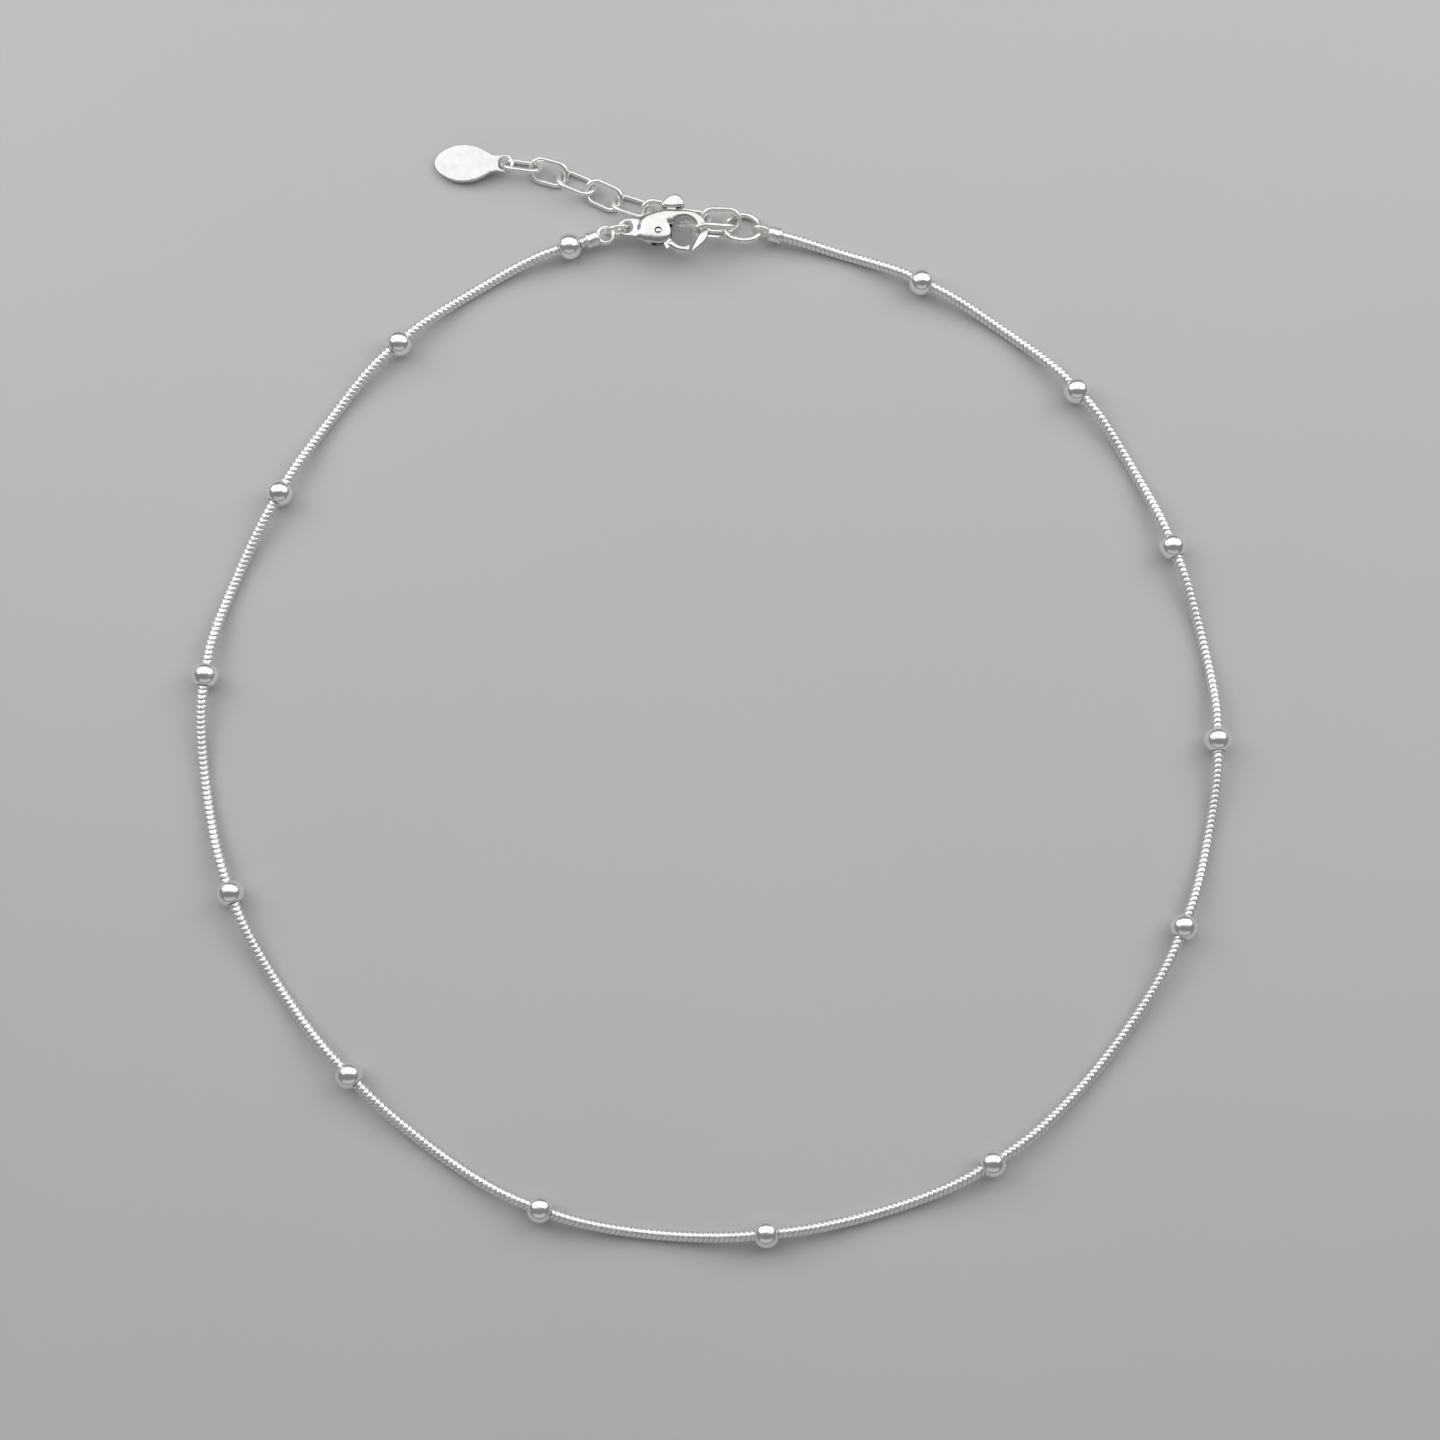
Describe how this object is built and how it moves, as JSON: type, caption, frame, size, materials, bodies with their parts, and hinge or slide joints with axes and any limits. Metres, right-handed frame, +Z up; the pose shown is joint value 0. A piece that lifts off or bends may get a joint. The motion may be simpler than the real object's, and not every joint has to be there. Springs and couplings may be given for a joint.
{
  "type": "ball chain choker",
  "caption": "Closed snake-chain choker with round beads, a lobster clasp, a short extender of oval links and a plain oval tag, lying flat in a ring.",
  "frame": {"origin": "centre of the footprint, on the surface the choker lies on", "axes": "+Z up from the surface, +Y from the middle of the ring towards the clasp, +X to the clasp's hook side"},
  "size_m": [0.1139, 0.1234, 0.0046],
  "materials": {
    "chain": "polished silver, woven",
    "bead": "polished silver",
    "link": "polished silver wire",
    "clasp": "polished cast silver",
    "tag": "polished silver sheet"
  },
  "bodies": {
    "choker": {"bead_01": "bead", "bead_02": "bead", "bead_03": "bead", "bead_04": "bead", "bead_05": "bead", "bead_06": "bead", "bead_07": "bead", "bead_08": "bead", "bead_09": "bead", "bead_10": "bead", "bead_11": "bead", "bead_12": "bead", "bead_13": "bead", "bead_14": "bead", "chain_end_left": "link", "chain_end_right": "link", "clasp_body": "clasp", "clasp_pin": "clasp", "clasp_ring": "link", "extender_link_01": "link", "extender_link_02": "link", "extender_link_03": "link", "extender_link_04": "link", "extender_link_05": "link", "extender_link_06": "link", "extender_link_07": "link", "extender_link_08": "link", "extender_tag": "tag", "hook_link": "link", "jump_ring": "link", "snake_chain": "chain"},
    "lever": {"clasp_lever": "clasp"}
  },
  "joints": [
    {"name": "clasp_gate", "type": "hinge", "parent": "choker", "child": "lever", "pos_m": [-0.00604, 0.05056, 0.00267], "axis": [-0.1041, 0.0091, 0.9945], "range_deg": [0, 15], "stiffness_Nm_per_rad": 0.005}
  ]
}
